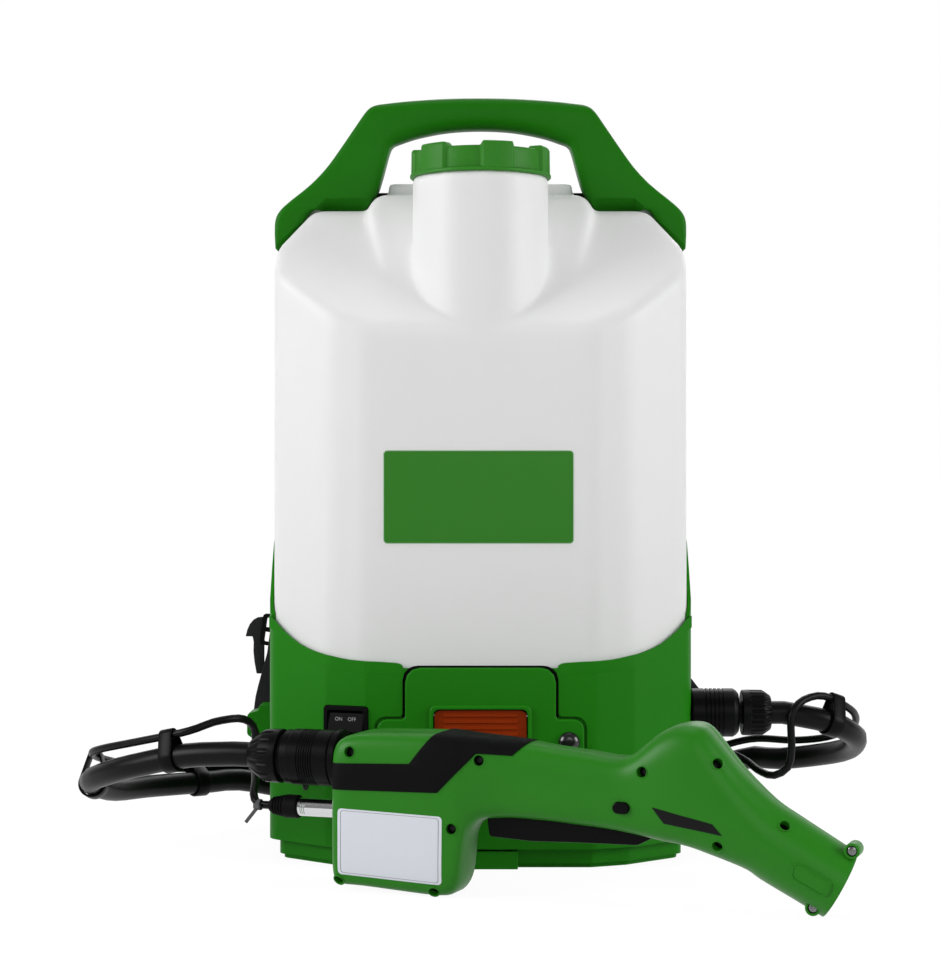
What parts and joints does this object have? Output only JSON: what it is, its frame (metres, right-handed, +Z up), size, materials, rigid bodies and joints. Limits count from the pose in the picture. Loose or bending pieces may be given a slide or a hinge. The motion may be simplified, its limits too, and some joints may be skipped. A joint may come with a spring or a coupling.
{
  "type": "backpack sprayer",
  "caption": "Battery backpack sprayer: a lift-off tank with a screw cap and carry handle stands in a pump base with a shoulder harness; a hose and cable lead to a trigger spray handle.",
  "frame": {"origin": "middle of the base plate's underside, on the floor", "axes": "+Z up, -Y towards the front with the tank release, +X towards the side where the hose leaves"},
  "size_m": [0.5606, 0.4315, 0.5434],
  "materials": {
    "green_plastic": "moulded, satin",
    "green_cap": "moulded, matt",
    "green_handle": "moulded, glossy",
    "white_tank": "blow-moulded, milky",
    "clear_pipe": "smooth flexible tube",
    "white_module": "moulded, matt",
    "orange_plastic": "moulded, satin",
    "black_plastic": "moulded, satin",
    "black_rubber": "moulded, matt",
    "hose_rubber": "extruded, satin",
    "bright_steel": "bright plated",
    "brass": "turned",
    "circuit_board": "board with a solder mask",
    "pad_fabric": "woven cover over foam",
    "webbing": "woven webbing"
  },
  "bodies": {
    "base": {"base_shell": "green_plastic", "base_plate": "green_plastic", "front_panel": "green_plastic", "latch_pin": "bright_steel", "latch_spring": "bright_steel", "rocker_bezel": "black_plastic", "tank_socket": "black_plastic", "pump_head": "black_plastic", "pump_motor": "bright_steel", "feed_pipe": "clear_pipe", "delivery_pipe": "clear_pipe", "battery_pack": "black_plastic", "control_board": "circuit_board", "outlet_barrel": "black_plastic", "cable_gland": "black_plastic", "back_frame": "black_plastic", "back_pad": "pad_fabric", "shoulder_pad_left": "pad_fabric", "shoulder_pad_right": "pad_fabric", "webbing_left": "webbing", "webbing_right": "webbing", "buckle_left": "black_plastic", "buckle_right": "black_plastic", "strap_anchor_left": "green_plastic", "strap_anchor_right": "green_plastic", "hose": "hose_rubber", "cable": "black_rubber", "hose_clip_right": "black_plastic", "hose_clip_left": "black_plastic", "hose_clip_end": "black_plastic", "gun_shell_near": "green_handle", "gun_shell_far": "green_handle", "grip_overmould": "black_rubber", "trigger_pin": "bright_steel", "trigger_spring": "bright_steel", "micro_switch": "black_plastic", "gun_collar": "black_plastic", "swivel_body": "black_plastic", "cable_plug": "bright_steel", "plug_boot": "black_rubber", "nozzle_holder": "black_plastic", "electrode_ring": "bright_steel", "inner_tube": "clear_pipe", "hv_module": "white_module"},
    "tank": {"tank_shell": "white_tank", "carry_handle": "green_plastic", "valve_housing": "black_plastic", "valve_spring": "bright_steel"},
    "valve": {"valve_poppet": "brass"},
    "cap_carrier": {"cap_gasket": "black_rubber"},
    "cap": {"tank_cap": "green_cap"},
    "latch": {"release_latch": "orange_plastic"},
    "rocker": {"power_rocker": "black_plastic"},
    "port_plug": {"port_cap": "black_rubber"},
    "outlet_union": {"outlet_nut": "black_plastic"},
    "gun_union": {"gun_nut": "black_plastic"},
    "rotor": {"pump_rotor": "brass"},
    "trigger_lever": {"trigger": "black_plastic"},
    "lock_bolt": {"trigger_lock": "black_plastic"},
    "dial": {"nozzle_dial": "black_plastic"}
  },
  "joints": [
    {"name": "tank_lift", "type": "slide", "parent": "base", "child": "tank", "axis": [0, 0, 1], "range_m": [0, 0.14]},
    {"name": "valve_close", "type": "slide", "parent": "tank", "child": "valve", "axis": [0, 0, 1], "range_m": [-0.004, 0], "deforming": ["valve_spring"]},
    {"name": "cap_lift", "type": "slide", "parent": "tank", "child": "cap_carrier", "axis": [0, 0, 1], "range_m": [0, 0.05]},
    {"name": "cap_turn", "type": "hinge", "parent": "cap_carrier", "child": "cap", "pos_m": [0, -0.0342, 0.4765], "axis": [0, 0, 1], "range_deg": [0, 540]},
    {"name": "latch_press", "type": "hinge", "parent": "base", "child": "latch", "pos_m": [0, -0.0766, 0.1042], "axis": [1, 0, 0], "range_deg": [0, 6], "stiffness_Nm_per_rad": 1.2, "springref_deg": -6.88},
    {"name": "power_switch", "type": "hinge", "parent": "base", "child": "rocker", "pos_m": [-0.09046, -0.0755, 0.0995], "axis": [0.925, -0.3799, 0], "range_deg": [0, 10]},
    {"name": "port_plug_pull", "type": "slide", "parent": "base", "child": "port_plug", "axis": [0, -1, 0], "range_m": [0, 0.008]},
    {"name": "outlet_nut_turn", "type": "hinge", "parent": "base", "child": "outlet_union", "pos_m": [0.18555, -0.02, 0.1005], "axis": [1, 0, 0], "range_deg": [0, 720]},
    {"name": "gun_nut_turn", "type": "hinge", "parent": "base", "child": "gun_union", "pos_m": [-0.15457, -0.1204, 0.083], "axis": [0.9432, -0.3322, 0], "range_deg": [0, 720]},
    {"name": "pump_spin", "type": "hinge", "parent": "base", "child": "rotor", "pos_m": [-0.0165, 0.03, 0.034], "axis": [1, 0, 0], "continuous": true},
    {"name": "trigger_pull", "type": "hinge", "parent": "base", "child": "trigger_lever", "pos_m": [0.10624, -0.21225, 0.0505], "axis": [0.3322, 0.9432, 0], "range_deg": [0, 4.5], "stiffness_Nm_per_rad": 4, "springref_deg": -5.73},
    {"name": "trigger_lock_slide", "type": "slide", "parent": "base", "child": "lock_bolt", "axis": [0.3322, 0.9432, 0], "range_m": [0, 0.004]},
    {"name": "nozzle_turn", "type": "hinge", "parent": "base", "child": "dial", "pos_m": [0.20945, -0.24859, 0.02522], "axis": [0.8209, -0.2891, -0.4924], "range_deg": [0, 240]}
  ],
  "couplings": [
    {"joint": "valve_close", "follows": "tank_lift", "ratio": -0.028571}
  ]
}
